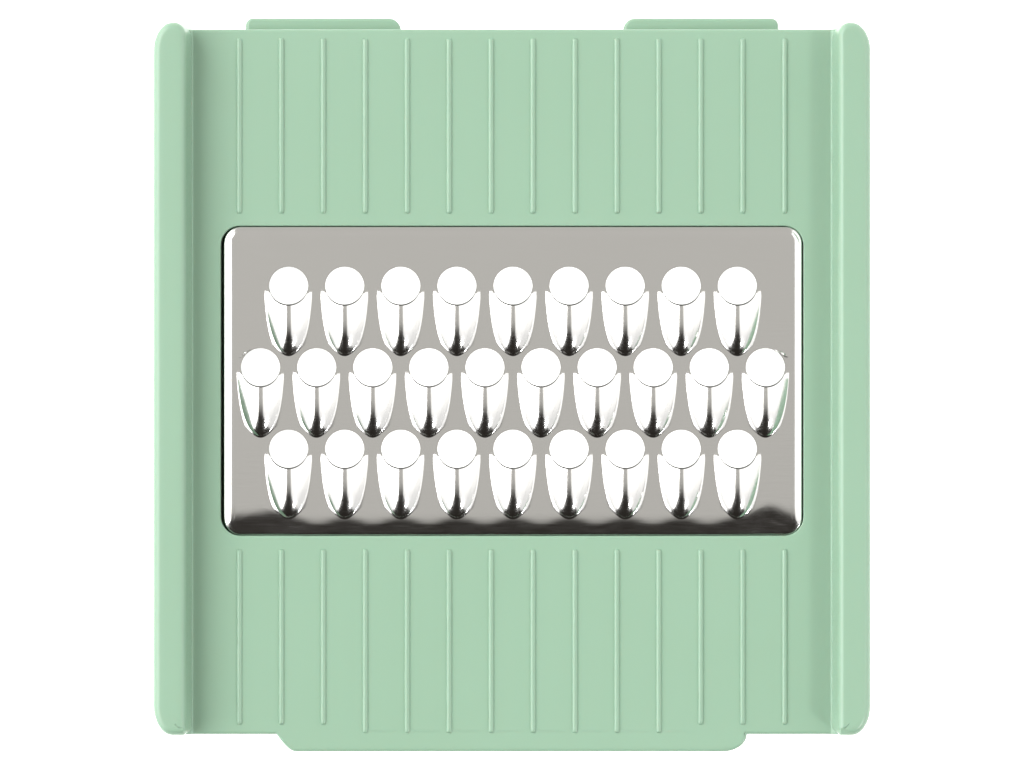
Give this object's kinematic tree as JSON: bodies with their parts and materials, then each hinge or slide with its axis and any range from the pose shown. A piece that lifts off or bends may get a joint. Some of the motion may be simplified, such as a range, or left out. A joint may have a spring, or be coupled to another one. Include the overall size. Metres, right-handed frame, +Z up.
{
  "type": "mandoline grating insert",
  "caption": "Flat square mandoline insert: a mint-green plastic frame with side guide rails and ribbed decks around a stainless plate of raised, hooded grating teeth.",
  "frame": {"origin": "centre of the footprint, on the plane the insert stands on", "axes": "+Z up, out of the food deck; +Y towards the two rear tabs, the way the teeth's cutting edges face; +X to the right rail seen from above with the rear tabs away from the viewer"},
  "size_m": [0.1104, 0.114, 0.013],
  "materials": {
    "mint_plastic": "moulded, satin, pale mint green",
    "stainless_sheet": "0.5 mm stainless sheet, pressed and polished"
  },
  "bodies": {
    "root": {"carrier_frame": "mint_plastic", "grating_plate": "stainless_sheet", "clamp_ring": "mint_plastic"}
  },
  "joints": []
}
